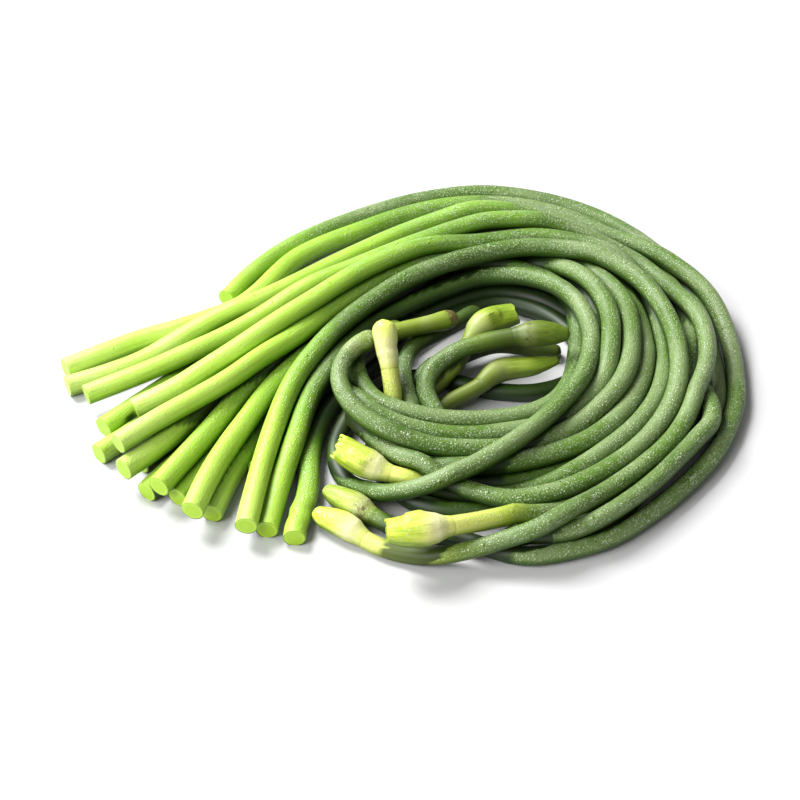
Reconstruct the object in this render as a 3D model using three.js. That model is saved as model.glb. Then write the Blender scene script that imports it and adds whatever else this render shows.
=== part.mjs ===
// A bunch of garlic scapes, lying bent round into one loose coil on a flat surface.
// Units are millimetres, +Z is up, and the surface is the plane z = 0.
//
// Each scape is one long round stalk with a flower bud at its far end. The stalk starts at a flat
// cut, runs along the fan on the left, goes once round the coil and ends inside it. The scapes are
// listed in the order in which they were laid down, and each lies on those laid before it.
import * as THREE from "three";

const { lerp, smoothstep } = THREE.MathUtils;

// Girth of a scape of ordinary size, as radii from its cut end to its bud
const CUT_RADIUS = 3.95;
const MIDDLE_RADIUS = 3.55;
const NECK_RADIUS = 3.2;
const THICK_SHARE = [0.12, 0.45]; // shares of the length between which the cut end's girth is lost
const TAPER_LENGTH = 120; // the last stretch before the bud, where the stalk thins

const BUD_GAP = 0.3; // clearance between a stalk and its bud

// How one scape rests on another
const CLEARANCE = 0.45;
const PRESS = 0.35; // how far a round underside is pressed flat by the surface
const SAMPLE_STEP = 2.5; // spacing of the points at which rest is worked out
const SAG = 0.0006; // an unsupported stretch's fourth difference per step, from its weight
const SPRING_ROUNDS = 1500;

// How the whole heap settles once every scape is laid
const HEAP_ROUNDS = 700;
const CALM_ROUNDS = 400; // last rounds, in which nothing falls and the spring dies away
const FALL = 0.1; // how far each point drops in a round
const HOLD = 0.04; // share of its way back to the route that a point takes in a round
const STIFFNESS = [[1, 0.5], [3, 0.4], [9, 0.05]]; // stiffness over each spacing, in samples
const CALM_SPRING = 0.1;
const NEARBY = 3; // margin within which a pair of points is watched
const FARTHEST = 15; // no two points this far apart are ever within that margin
const OWN_STRETCH = 30; // points of one scape closer than this along it never touch
const WATCH_ROUNDS = 20; // rounds between two searches for such pairs

// Facets
const STALK_SIDES = 8;
const BUD_SIDES = 10;
const CHORD_ERROR = 0.22;
const LONGEST_FACET = 18;

// Coats
const STALK_COLOR = 0x5f8f3f;
const STALK_ROUGHNESS = 0.45;
const BUD_COLOR = 0xd6dc6a;
const BUD_ROUGHNESS = 0.5;

// Each sort of bud: its length, and its outline as shares of that length with radii
const BUDS = {
  trimmed: {
    length: 23,
    outline: [[0, 3.3], [0.15, 4.0], [0.38, 5.7], [0.55, 5.4], [0.78, 4.6], [1, 3.6]],
  },
  slim: { length: 16, outline: [[0, 3.3], [0.25, 3.4], [0.5, 3.6], [0.75, 3.2], [1, 2.7]] },
  knob: {
    length: 19,
    outline: [[0, 3.3], [0.25, 3.7], [0.42, 3.9], [0.6, 4.4], [0.8, 4.4], [0.93, 3.5], [1, 2.0]],
  },
  blunt: { length: 19, outline: [[0, 3.3], [0.45, 3.4], [0.68, 3.8], [0.86, 3.6], [1, 2.2]] },
  pointed: {
    length: 23,
    outline: [[0, 3.3], [0.15, 4.0], [0.34, 5.0], [0.52, 4.7], [0.78, 3.4], [1, 1.5]],
  },
  long: {
    length: 37,
    outline: [[0, 3.3], [0.07, 3.8], [0.16, 4.1], [0.3, 4.8], [0.45, 4.3], [0.65, 3.8], [0.84, 2.8],
      [1, 1.3]],
  },
};

// The scapes in laying order. A route is the way seen from above, from the cut end to the bud's
// tip, and a third value lifts the scape there above the surface. A tucked tail, so long, runs
// under whatever lies higher than the given height.
const SCAPES = [
  { girth: 0.97, bud: "blunt", route: [
    [-33, -78], [-34.5, -58], [-36, -36], [-31, -13], [-19, 9], [-1, 30], [19, 46], [40, 55],
    [58, 50], [69, 38], [73, 22], [68, 8], [54, 1], [37, 1], [19, 6], [2, 8], [-9, 0],
    [-12, -13]] },
  { girth: 0.97, bud: "slim", route: [
    [-93.1, -40.6], [-84.1, -27.2], [-66, 3], [-50, 28], [-32, 52], [-10, 75], [14, 94],
    [38, 103], [62, 99], [82, 84], [97, 60], [104, 36], [104, 12], [99, -9], [90, -27],
    [78, -43], [60, -56], [37, -61], [15, -59], [-1, -48], [-9, -34], [-7, -18], [3, -4],
    [20, 6], [44, 18], [67, 18.5]] },
  { girth: 1, bud: "trimmed", route: [
    [-81, -56], [-70, -38], [-59, -16], [-48, 5], [-35, 27], [-18, 49], [2, 70], [23, 84],
    [45, 89], [65, 84], [82, 68], [93, 47], [96, 26], [95, 6], [89, -12], [79, -27], [65, -39],
    [48, -46], [28, -48], [11, -43], [1, -32], [5, -19], [11.3, -11.6], [14.4, -3.1],
    [22.3, 9.6], [27.2, 20.4], [34.2, 31.3], [44.3, 36.3]] },
  { girth: 0.96, bud: "long", route: [
    [-55, -41], [-48, -27], [-38, -7], [-22, 16], [-2, 38], [18, 55], [38, 64], [58, 61],
    [73, 49], [80, 32], [81, 13], [76, -5], [66, -19], [52, -30], [36, -36], [20, -35],
    [9, -27], [6, -15], [12, -4], [16.4, -0.9], [25.3, 4.9], [34.3, 11.4], [44.8, 11.4],
    [59.5, 13.2]] },
  { girth: 1.02, bud: "pointed", route: [
    [-64, -66], [-57, -43], [-48, -20], [-37, 5], [-20, 29], [1, 51], [22, 67], [42, 73],
    [62, 69], [77, 56], [86, 38], [88, 20], [84, 0]] },
  { girth: 0.96, bud: "pointed", route: [
    [-70.1, 57.6], [-63.5, 69.4], [-46, 91], [-19, 110], [10, 124], [36, 130], [60, 126],
    [82, 115], [100, 97], [112, 75], [120, 50], [121, 26], [119, 6], [112, -14], [101, -32],
    [88, -48], [74, -67], [57, -79]] },
  { girth: 1, bud: "blunt", route: [
    [-111, -20], [-99, -8], [-86, 5], [-70, 25], [-32, 71], [0, 96], [22, 109], [44, 112],
    [66, 107], [85, 91], [99, 73], [107, 51], [109, 28], [108, 8], [112.3, -25, 10],
    [104.7, -35.7, 10.5], [94.9, -48.9, 10.5], [83.7, -60.1, 10.5], [72.6, -68.6, 10.5],
    [62, -74, 10], [52.2, -76.4, 7], [44, -76, 4], [35.3, -73, 3.5]] },
  { girth: 1.05, bud: "trimmed", route: [
    [-128.9, 11.5], [-117.4, 18.9], [-98.8, 30.2], [-83.5, 38.4], [-71.2, 47], [-60.7, 57.3],
    [-43, 86], [-18, 105], [8, 120], [34, 125], [58, 121], [78, 109], [94, 91], [106, 70],
    [112, 48], [113, 26], [111, 6], [105, -14], [95, -31], [82, -45], [68.7, -53.6],
    [57.2, -62.1, 5], [46.7, -68.6, 7], [37.6, -73.5, 9], [29, -77.6, 10], [20.8, -82.4, 11],
    [10.7, -86.9, 12.5], [1.4, -89.3, 12.5], [-3.1, -89.7, 12]] },
  { girth: 1.02, bud: "pointed", route: [
    [-102.1, -47.3], [-92.9, -38.9], [-84.6, -30.4], [-74.6, -17.2], [-64.9, -1.4], [-50, 24],
    [-33, 45], [-12, 65], [10, 82], [32, 90], [52, 85], [67, 71], [75, 52], [78, 34], [77, 16],
    [74, 0], [66, -14], [54, -25], [40, -31], [26, -31], [14, -26], [7.9, -13.9], [7, -7.7],
    [9.8, 0.4], [17.1, 7.4], [27.2, 12.7], [37.6, 15.1], [44.9, 16.2], [53.8, 16.8],
    [67.6, 15.6]] },
  { girth: 1, bud: "blunt", route: [
    [-112.8, -32.6], [-103.3, -21.8], [-94.7, -10.7], [-79, 9], [-64, 29], [-46, 46], [-26, 65],
    [-4, 83], [18, 97], [40, 99], [60, 90], [74, 74], [83, 52], [86, 30], [84, 5], [78, -12],
    [67, -26], [52, -35], [35, -39], [19, -36], [7, -28], [1.5, -4.3], [1.5, 6.1], [5, 14.9],
    [11.7, 22.1], [19.7, 29.5], [26.1, 36.3], [32.7, 42.5]] },
  { girth: 1, bud: "knob", route: [
    [-94, -52], [-84, -38], [-73, -23], [-62, -4], [-48, 16], [-32, 36], [-14, 56], [8, 74],
    [30, 85], [52, 86], [72, 79], [86, 65], [94, 46], [96, 24], [93, 3], [85, -16], [71, -31],
    [53, -40], [36, -45], [20, -46], [7, -42], [3, -33, 5], [4, -22, 8], [5, -13, 14],
    [4, -3, 24], [1, 8, 35]] },
  { girth: 1, bud: "knob", route: [
    [-86, -58], [-77, -43], [-67, -27], [-57, -9], [-46, 9], [-34, 31], [-19, 48], [1, 65],
    [24, 73], [45, 76], [64, 68], [76, 52], [82, 32], [82, 14], [78, -4], [68, -17], [56, -24],
    [41, -28], [24, -34], [6, -34], [-9, -29], [-20, -19], [-24, -5], [-20, 8], [-11, 21],
    [0, 32]] },
  { girth: 1, bud: "blunt", route: [
    [-71, -71], [-65, -49], [-57, -28], [-48, -5], [-35, 17], [-18, 40], [2, 60], [24, 75],
    [46, 81], [66, 76], [80, 61], [88, 41], [89, 20], [86, 0], [78, -15], [64, -28], [47, -36],
    [28, -39], [10, -42], [-6, -39], [-17, -29], [-22, -15], [-17, 0], [-6, 8]] },
  { girth: 1, bud: "blunt", route: [
    [-99.4, -45.2], [-88.4, -33.6], [-75.6, -21.1], [-63.7, -7.7], [-52.5, 7.4], [-30.9, 31.5],
    [0, 58], [22, 70], [44, 71], [60, 65], [70, 50], [74, 33], [75, 15], [71, -2], [62, -15],
    [49, -23], [34, -27], [18, -28], [4, -26], [-9, -21], [-17.7, -3.1, 17], [-17.5, 6.2, 17],
    [-11.5, 13.8, 17], [-2.3, 19.2, 17], [7.8, 22.9, 17], [16.4, 26.2, 17], [23.1, 29.6, 17]] },
  { girth: 0.98, bud: "trimmed", route: [
    [-98.4, -18.3], [-81.3, -10.5], [-64.3, 1.5], [-45.4, 17.4], [-28.6, 33.3], [-12.3, 48.5],
    [16, 66], [33, 72], [58, 78], [82, 68], [96, 48], [101, 26], [101, 8], [95, -9], [84, -24],
    [73, -36], [58, -49], [36, -56], [16, -55], [7.2, -53.5, 9], [-1.1, -51.9, 10],
    [-7.6, -49.9, 11], [-13.3, -47.8, 13], [-22.1, -42.9, 14]] },
  { girth: 1, bud: "pointed", tuck: [80, 9], route: [
    [-129.1, 5.1], [-116.4, 11.8], [-100.7, 21.4], [-85.1, 31.8], [-69.7, 40], [-59.8, 43.8],
    [-32, 64], [0, 87], [33, 99], [66, 99], [83, 92], [99, 83], [114, 67], [125, 47], [129, 28],
    [129, 7], [125, -13], [117, -32], [105, -48], [89, -63], [74, -73], [56, -80],
    [43.7, -82.7], [35, -81.3], [26.3, -78.4], [17.6, -75.7], [7.8, -75], [-0.4, -73],
    [-8.5, -68.1], [-17.2, -61.6], [-26.3, -54]] },
  { girth: 0.97, bud: "pointed", tuck: [100, 9], route: [
    [-119, -7], [-91, 8], [-62, 27], [-32, 48], [0, 70], [33, 84], [66, 84], [82, 79], [97, 70],
    [108, 53], [114, 36], [118, 18], [117, 1], [111, -16], [102, -31], [87, -48], [72.8, -64.1],
    [61.7, -74.4], [51.5, -81], [40.8, -83.1], [30.5, -84.5], [20.8, -85.3], [10.1, -85.1],
    [1, -82.9], [-7.4, -79.8], [-14.5, -74.5], [-19.8, -69.6], [-24.9, -66.1], [-30.7, -62.1]] },
  { girth: 1, bud: "blunt", tuck: [60, 12], route: [
    [-52.9, -75.9], [-50.8, -57.1], [-47.2, -37.3], [-42.1, -14.5], [-37, 0], [-30, 13],
    [-21, 29], [-10, 43], [0, 53], [16, 63], [32, 70], [49, 74], [65, 71], [81, 65], [95, 52],
    [104, 33], [108, 11], [106, -8], [99, -23], [89, -36], [74, -50], [55, -63], [37, -67],
    [19, -62], [4, -55], [-8, -46], [-16, -35], [-17, -22]] },
  { girth: 1, bud: "blunt", tuck: [50, 12], route: [
    [-45.6, -72.8], [-42.9, -48.4], [-39.4, -28.3], [-34.3, -6.1], [-27, 8], [-19, 23],
    [-10, 36], [0, 46], [16, 56], [32, 64], [48, 64], [61, 56], [71, 40], [76, 16], [72, -3],
    [61, -20], [46, -36], [28, -49], [11, -55], [-7, -56], [-19, -49], [-25, -36], [-24, -23],
    [-17, -12]] },
];

// Value of a polyline of [position, value] pairs, the first and last held beyond its ends.
function between(pairs, position) {
  const next = pairs.findIndex(([p]) => p >= position);
  if (next === 0) return pairs[0][1];
  if (next < 0) return pairs.at(-1)[1];
  const [[p0, v0], [p1, v1]] = [pairs[next - 1], pairs[next]];
  return lerp(v0, v1, (position - p0) / (p1 - p0));
}

// Radius of a scape at a distance from its cut end.
function radiusAt(scape, distance, length) {
  const bud = BUDS[scape.bud];
  const neck = length - bud.length;
  if (distance > neck) return scape.girth * between(bud.outline, (distance - neck) / bud.length);
  const thinning = smoothstep(distance, THICK_SHARE[0] * length, THICK_SHARE[1] * length);
  const body = lerp(CUT_RADIUS, MIDDLE_RADIUS, thinning);
  return scape.girth * lerp(body, NECK_RADIUS, smoothstep(distance, neck - TAPER_LENGTH, neck));
}

// Points at even steps along a scape's route, each with its radius, its distance from the cut and
// the lowest it may lie, on the surface or at the route's lift.
function samplesOf(scape) {
  const guide = scape.route.map(([x, y, lift = 0]) => new THREE.Vector3(x, y, lift));
  const curve = new THREE.CatmullRomCurve3(guide, false, "centripetal");
  curve.arcLengthDivisions = 40 * guide.length;
  const length = curve.getLength();
  const steps = Math.round(length / SAMPLE_STEP);
  return curve.getSpacedPoints(steps).map((at, i) => {
    const distance = (length * i) / steps;
    const radius = radiusAt(scape, distance, length);
    return { at, scape, distance, radius, floor: Math.max(radius - PRESS, at.z) };
  });
}

// The lowest height that each sample can have above its floor and the scapes already laid.
function lowestHeights(samples, laid, [tucked, ceiling] = [0, 0]) {
  const loose = samples.at(-1).distance - tucked;
  return samples.map(({ at, radius, distance, floor }) => {
    let lowest = floor;
    for (const other of laid) {
      if (distance > loose && other.at.z > ceiling) continue;
      const reach = radius + other.radius + CLEARANCE;
      const apart = Math.hypot(at.x - other.at.x, at.y - other.at.y);
      if (apart < reach) lowest = Math.max(lowest, other.at.z + Math.sqrt(reach ** 2 - apart ** 2));
    }
    return lowest;
  });
}

// Where a springy line would have its value i, given others at a stride on either side.
function sprung(values, i, stride) {
  const at = (k) => values[i + k * stride];
  if (i < 2 * stride) return 2 * at(1) - at(2);
  if (i >= values.length - 2 * stride) return 2 * at(-1) - at(-2);
  return (4 * (at(-1) + at(1)) - at(-2) - at(2)) / 6;
}

// Lets one scape down: each height goes to where its neighbours' bend and its own weight would
// have it, but never below the lowest height it may have.
function letDown(samples, lowest) {
  const height = [...lowest];
  for (let round = 0; round < SPRING_ROUNDS; round++) {
    for (let i = 0; i < height.length; i++) {
      height[i] = Math.max(lowest[i], sprung(height, i, 1) - SAG);
    }
  }
  samples.forEach(({ at }, i) => (at.z = height[i]));
}

// Pairs of points, of different scapes or far apart on one, that might touch soon.
function closePairs(points) {
  const pairs = [];
  const byX = [...points].sort((a, b) => a.at.x - b.at.x);
  byX.forEach((a, i) => {
    for (let j = i + 1; j < byX.length && byX[j].at.x - a.at.x < FARTHEST; j++) {
      const b = byX[j];
      const reach = a.radius + b.radius + CLEARANCE;
      if (a.scape === b.scape && Math.abs(b.distance - a.distance) < OWN_STRETCH) continue;
      if (a.at.distanceTo(b.at) < reach + NEARBY) pairs.push([a.at, b.at, reach]);
    }
  });
  return pairs;
}

// Moves points that are too close apart along the line between them.
function part(pairs) {
  for (const [a, b, reach] of pairs) {
    const gap = a.distanceTo(b);
    if (gap >= reach) continue;
    const push = (reach - gap) / (2 * gap);
    const [x, y, z] = [(b.x - a.x) * push, (b.y - a.y) * push, (b.z - a.z) * push];
    a.set(a.x - x, a.y - y, a.z - z);
    b.set(b.x + x, b.y + y, b.z + z);
  }
}

// Shakes the heap down. In each round every point springs back into line with its neighbours,
// returns a little towards its route, drops a little, and is pushed out of what it touches.
function settleHeap(lines) {
  const points = lines.flat();
  const routes = lines.map((samples) => samples.map(({ at }) => at.clone().setZ(0)));
  let pairs = [];
  for (let round = 0; round < HEAP_ROUNDS + CALM_ROUNDS; round++) {
    const calm = round >= HEAP_ROUNDS;
    const spring = calm ? (CALM_SPRING * (HEAP_ROUNDS + CALM_ROUNDS - round)) / CALM_ROUNDS : 1;
    if (round % WATCH_ROUNDS === 0) pairs = closePairs(points);
    lines.forEach((samples, k) => {
      for (const axis of ["x", "y", "z"]) {
        const strayed = samples.map(({ at }, i) => at[axis] - routes[k][i][axis]);
        for (const [stride, stiffness] of STIFFNESS) {
          strayed.forEach((here, i) => {
            strayed[i] += spring * stiffness * (sprung(strayed, i, stride) - here);
          });
        }
        samples.forEach(({ at }, i) => (at[axis] = routes[k][i][axis] + strayed[i]));
      }
      if (calm) return;
      samples.forEach(({ at }, i) => {
        at.x += HOLD * (routes[k][i].x - at.x);
        at.y += HOLD * (routes[k][i].y - at.y);
        at.z -= FALL;
      });
    });
    part(pairs);
    for (const { at, floor } of points) at.z = Math.max(at.z, floor);
  }
}

// Indices of the samples that a chain of straight facets needs to stay close to the line.
function stationsOf(samples) {
  const kept = [0];
  const chord = new THREE.Line3();
  const foot = new THREE.Vector3();
  while (kept.at(-1) < samples.length - 1) {
    const from = kept.at(-1);
    let to = from + 1;
    for (let next = from + 2; next < samples.length; next++) {
      chord.set(samples[from].at, samples[next].at);
      const strays = samples.slice(from + 1, next)
        .some(({ at }) => chord.closestPointToPoint(at, true, foot).distanceTo(at) > CHORD_ERROR);
      if (strays || samples[next].distance - samples[from].distance > LONGEST_FACET) break;
      to = next;
    }
    kept.push(to);
  }
  return kept;
}

// A closed skin of rings round a line, with a flat end at each side. A sample's own direction, where
// it has one, sets the plane of its ring.
function skin(samples, sides) {
  const positions = [];
  const faces = [];
  const up = new THREE.Vector3(0, 0, 1);
  samples.forEach(({ at, radius, direction }, i) => {
    const before = samples[Math.max(i - 1, 0)].at;
    const after = samples[Math.min(i + 1, samples.length - 1)].at;
    const along = direction ?? after.clone().sub(before).normalize();
    const across = up.clone().cross(along).normalize();
    const over = along.clone().cross(across);
    for (let side = 0; side < sides; side++) {
      const angle = (2 * Math.PI * (side + 0.5)) / sides;
      const rim = at.clone()
        .addScaledVector(across, radius * Math.sin(angle))
        .addScaledVector(over, radius * Math.cos(angle));
      positions.push(rim.x, rim.y, Math.max(rim.z, 0));
    }
  });
  const ring = (i, side) => i * sides + (side % sides);
  for (let i = 0; i + 1 < samples.length; i++) {
    for (let side = 0; side < sides; side++) {
      const [a, b] = [ring(i, side), ring(i, side + 1)];
      const [c, d] = [ring(i + 1, side), ring(i + 1, side + 1)];
      faces.push(a, c, b, b, c, d);
    }
  }
  for (let side = 1; side + 1 < sides; side++) {
    const last = samples.length - 1;
    faces.push(ring(0, 0), ring(0, side), ring(0, side + 1));
    faces.push(ring(last, 0), ring(last, side + 1), ring(last, side));
  }
  return new THREE.BufferGeometry()
    .setAttribute("position", new THREE.Float32BufferAttribute(positions, 3))
    .setIndex(faces);
}

// A point on the samples' line at a distance from the cut end.
function pointAt(samples, distance) {
  const next = Math.max(1, samples.findIndex((s) => s.distance >= distance));
  const [a, b] = [samples[next - 1], samples[next]];
  const share = (distance - a.distance) / (b.distance - a.distance);
  return a.at.clone().lerp(b.at, share);
}

// Where a stalk ends and its bud begins.
function neckOf(samples) {
  const { distance: whole, scape } = samples.at(-1);
  const distance = whole - BUDS[scape.bud].length;
  const at = pointAt(samples, distance);
  const before = pointAt(samples, distance - SAMPLE_STEP);
  const direction = pointAt(samples, distance + SAMPLE_STEP).sub(before).normalize();
  return { at, direction, distance };
}

// A named piece with a coat of its own.
function piece(name, geometry, color, roughness) {
  const coat = new THREE.MeshStandardMaterial({ color, roughness, metalness: 0 });
  const mesh = new THREE.Mesh(geometry, coat);
  mesh.name = name;
  return mesh;
}

function stalkOf(name, scape, samples) {
  const neck = neckOf(samples);
  const stalk = samples.filter(({ distance }) => distance < neck.distance - SAMPLE_STEP / 2);
  stalk.push({ ...neck, radius: scape.girth * NECK_RADIUS });
  const rings = stationsOf(stalk).map((i) => stalk[i]);
  return piece(`stalk_${name}`, skin(rings, STALK_SIDES), STALK_COLOR, STALK_ROUGHNESS);
}

function budOf(name, scape, samples) {
  const neck = neckOf(samples);
  const { length, outline } = BUDS[scape.bud];
  const rings = outline.map(([share, radius]) => {
    const at = pointAt(samples, neck.distance + share * length);
    return { at, radius: radius * scape.girth };
  });
  const { at, direction } = neck;
  rings[0] = { ...rings[0], direction, at: at.addScaledVector(direction, BUD_GAP) };
  return piece(`bud_${name}`, skin(rings, BUD_SIDES), BUD_COLOR, BUD_ROUGHNESS);
}

const laid = [];
const lines = SCAPES.map((scape) => {
  const samples = samplesOf(scape);
  letDown(samples, lowestHeights(samples, laid, scape.tuck));
  laid.push(...samples);
  return samples;
});
settleHeap(lines);

const bunch = new THREE.Group();
SCAPES.forEach((scape, i) => {
  const name = String(i + 1).padStart(2, "0");
  bunch.add(stalkOf(name, scape, lines[i]), budOf(name, scape, lines[i]));
});

// The origin is on the surface, under the middle of the bunch.
const middle = new THREE.Box3().setFromObject(bunch).getCenter(new THREE.Vector3());
bunch.position.set(-middle.x, -middle.y, 0);

export default bunch;
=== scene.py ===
"""A loose coil of garlic scapes, each one a long round stalk that ends in a flower bud.

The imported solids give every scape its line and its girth. A stalk or a bud is modelled straight,
along +X, and then bent along that line. Each point keeps its place on the straight form in the
attribute "straight", so that a pattern on it follows the stem round every bend.
"""

import itertools
import logging
import math
from dataclasses import dataclass, field
from enum import Enum
from functools import reduce
from random import Random
from typing import Callable, Iterable, Sequence

import bmesh
import bpy
import numpy as np
from bmesh.types import BMEdge, BMesh, BMFace, BMVert
from bpy.types import Material, Mesh, Node, NodeSocket, Object, ShaderNodeTree
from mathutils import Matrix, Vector

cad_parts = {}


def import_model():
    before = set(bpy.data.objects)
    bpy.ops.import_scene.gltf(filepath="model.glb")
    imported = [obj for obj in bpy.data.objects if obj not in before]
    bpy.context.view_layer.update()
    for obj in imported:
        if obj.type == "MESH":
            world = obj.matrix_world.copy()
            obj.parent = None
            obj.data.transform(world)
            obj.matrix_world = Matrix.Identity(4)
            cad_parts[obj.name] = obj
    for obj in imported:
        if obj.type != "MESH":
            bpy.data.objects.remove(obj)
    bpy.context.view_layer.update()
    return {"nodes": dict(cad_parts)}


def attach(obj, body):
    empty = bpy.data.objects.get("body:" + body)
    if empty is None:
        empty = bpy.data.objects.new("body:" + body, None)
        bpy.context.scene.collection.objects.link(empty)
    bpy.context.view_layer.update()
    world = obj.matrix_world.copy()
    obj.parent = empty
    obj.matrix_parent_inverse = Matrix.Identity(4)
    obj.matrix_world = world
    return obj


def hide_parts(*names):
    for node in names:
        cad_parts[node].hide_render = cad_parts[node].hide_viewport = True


LOG = logging.getLogger("scapes")
MM = 0.001
BODY = "root"
WELD = 0.001 * MM  # distance under which two corners count as one
INNER_EDGES = 6  # edges that meet at a corner of a packed tube, away from its ends
MOST_NOISE = (0.3, 0.7)  # where most values of soft noise lie
BUD_SEEDS = 100  # seed of a bud's random numbers, less its scape's number

STRAIGHT = "straight"  # attribute: a point's place on the straight form, in metres
TINT = "tint"  # attribute: 0 at a pale cut, 0.5 in the deep green middle, 1 at the neck
SHARE = "share"  # attribute: place in a bud's run of colours, from its neck to its end
STAIN = "stain"  # attribute: how strongly a bud is spotted with brown
PALE = "pale"  # attribute: how pale a bud is
RIBBED = "ribbed"  # attribute: how strongly a bud is ribbed
# Besides mist, this attribute sets the painted shade, the painted sheen and the painted glints on
# the skin.
OPEN_AND_LIT = "open"  # attribute: how open a point lies to light and mist, from 0 to 1

Triple = tuple[float, float, float]
Colour = Triple
Span = tuple[float, float]
Stops = Sequence[tuple[float, Colour]]
Quad = tuple[float, float, float, float]


class BudKind(Enum):
    """The sorts of bud, by how far they have grown and how they end."""

    TRIMMED = "swollen, its beak cut straight across"
    RAGGED = "swollen, its beak cut and torn"
    KNOB = "a smooth pale knob on a short collar"
    BLUNT = "slim, with a rounded tip"
    POINTED = "swollen, whole to its tip"
    LONG = "swollen, with a long narrow beak"

    @property
    def cut(self) -> bool:
        """Whether the beak is cut off."""
        return self in (BudKind.TRIMMED, BudKind.RAGGED)

    @property
    def wrapped(self) -> bool:
        """Whether a ribbed wrapper stands on a collar."""
        return self not in (BudKind.KNOB, BudKind.BLUNT)


@dataclass(frozen=True)
class ScapeLook:
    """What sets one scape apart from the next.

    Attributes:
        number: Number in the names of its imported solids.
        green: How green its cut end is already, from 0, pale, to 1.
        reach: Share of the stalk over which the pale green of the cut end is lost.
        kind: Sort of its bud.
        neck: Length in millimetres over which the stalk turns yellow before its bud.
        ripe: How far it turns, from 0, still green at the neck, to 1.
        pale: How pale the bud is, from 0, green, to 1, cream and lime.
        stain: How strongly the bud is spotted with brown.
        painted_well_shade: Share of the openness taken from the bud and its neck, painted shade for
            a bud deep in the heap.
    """

    number: int
    green: float
    reach: float
    kind: BudKind
    neck: float = 28.0
    ripe: float = 1.0
    pale: float = 1.0
    stain: float = 0.0
    painted_well_shade: float = 0.0

    @property
    def stalk_node(self) -> str:
        """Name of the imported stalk."""
        return f"stalk_{self.number:02d}"

    @property
    def bud_node(self) -> str:
        """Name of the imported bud."""
        return f"bud_{self.number:02d}"


SCAPES: tuple[ScapeLook, ...] = (
    ScapeLook(1, 0.42, 0.31, BudKind.BLUNT, ripe=0.1, pale=0.15),
    ScapeLook(2, 0.40, 0.36, BudKind.BLUNT, neck=34, ripe=0.62, pale=0.4, stain=0.3, painted_well_shade=0.75),
    ScapeLook(3, 0.40, 0.31, BudKind.TRIMMED, neck=45, ripe=0.9, pale=0.85, painted_well_shade=0.72),
    ScapeLook(4, 0.50, 0.26, BudKind.LONG, neck=42, ripe=0.85, pale=0.8, painted_well_shade=0.8),
    ScapeLook(5, 0.10, 0.38, BudKind.POINTED, neck=24),
    ScapeLook(6, 0.40, 0.26, BudKind.POINTED, neck=24),
    ScapeLook(7, 0.38, 0.31, BudKind.BLUNT, ripe=0.1, pale=0.1),
    ScapeLook(8, 0.03, 0.53, BudKind.TRIMMED, neck=30),
    ScapeLook(9, 0.10, 0.43, BudKind.POINTED, neck=22, ripe=0.55, pale=0.6, stain=0.52, painted_well_shade=0.88),
    ScapeLook(10, 0.24, 0.41, BudKind.BLUNT, neck=26, ripe=0.3, pale=0.05, stain=0.3, painted_well_shade=0.6),
    ScapeLook(11, 0.34, 0.34, BudKind.KNOB, neck=24),
    ScapeLook(12, 0.30, 0.31, BudKind.KNOB, neck=20, ripe=0.35, pale=0.3),
    ScapeLook(13, 0.16, 0.36, BudKind.BLUNT, ripe=0.1, pale=0.15),
    ScapeLook(14, 0.04, 0.50, BudKind.BLUNT, neck=20, ripe=0.62, pale=0.25, stain=0.88, painted_well_shade=0.6),
    ScapeLook(15, 0.08, 0.53, BudKind.RAGGED, neck=16),
    ScapeLook(16, 0.02, 0.55, BudKind.POINTED, neck=10, ripe=0.4, pale=0.4, stain=0.58),
    ScapeLook(17, 0.12, 0.55, BudKind.POINTED, neck=38, stain=0.4),
    ScapeLook(18, 0.14, 0.31, BudKind.BLUNT, ripe=0.1, pale=0.1),
    ScapeLook(19, 0.26, 0.26, BudKind.BLUNT, ripe=0.1, pale=0.1),
)


def smooth(value: np.ndarray, low: float, high: float) -> np.ndarray:
    """A smooth rise from 0 at low to 1 at high."""
    share = np.clip((value - low) / (high - low), 0.0, 1.0)
    return share * share * (3.0 - 2.0 * share)


def hump(value: np.ndarray, middle: float, width: float, height: float = 1.0) -> np.ndarray:
    """A bell of the given height round middle."""
    return height * np.exp(-(((value - middle) / width) ** 2))


def select_only(piece: Object) -> None:
    """Selects one object and makes it the active one.

    Args:
        piece: The object.
    """
    bpy.ops.object.select_all(action="DESELECT")
    piece.select_set(True)
    bpy.context.view_layer.objects.active = piece


def vectors(mesh: Mesh, key: str) -> np.ndarray:
    """Reads one vector of each vertex.

    Args:
        mesh: The mesh.
        key: What to read: "co", its place, or "normal".

    Returns:
        A row for each vertex.
    """
    flat = np.empty(len(mesh.vertices) * 3)
    mesh.vertices.foreach_get(key, flat)
    return flat.reshape(-1, 3)


def set_places(mesh: Mesh, rows: np.ndarray) -> None:
    """Moves the vertices of a mesh."""
    mesh.vertices.foreach_set("co", rows.astype(np.float32).ravel())
    mesh.update()


def set_attribute(mesh: Mesh, name: str, values: np.ndarray) -> None:
    """Stores a number or a vector on each vertex.

    Args:
        mesh: The mesh.
        name: The attribute's name.
        values: A number or a row for each vertex.
    """
    kind, key = ("FLOAT_VECTOR", "vector") if values.ndim == 2 else ("FLOAT", "value")
    attribute = mesh.attributes.new(name, kind, "POINT")
    attribute.data.foreach_set(key, values.astype(np.float32).ravel())


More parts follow.
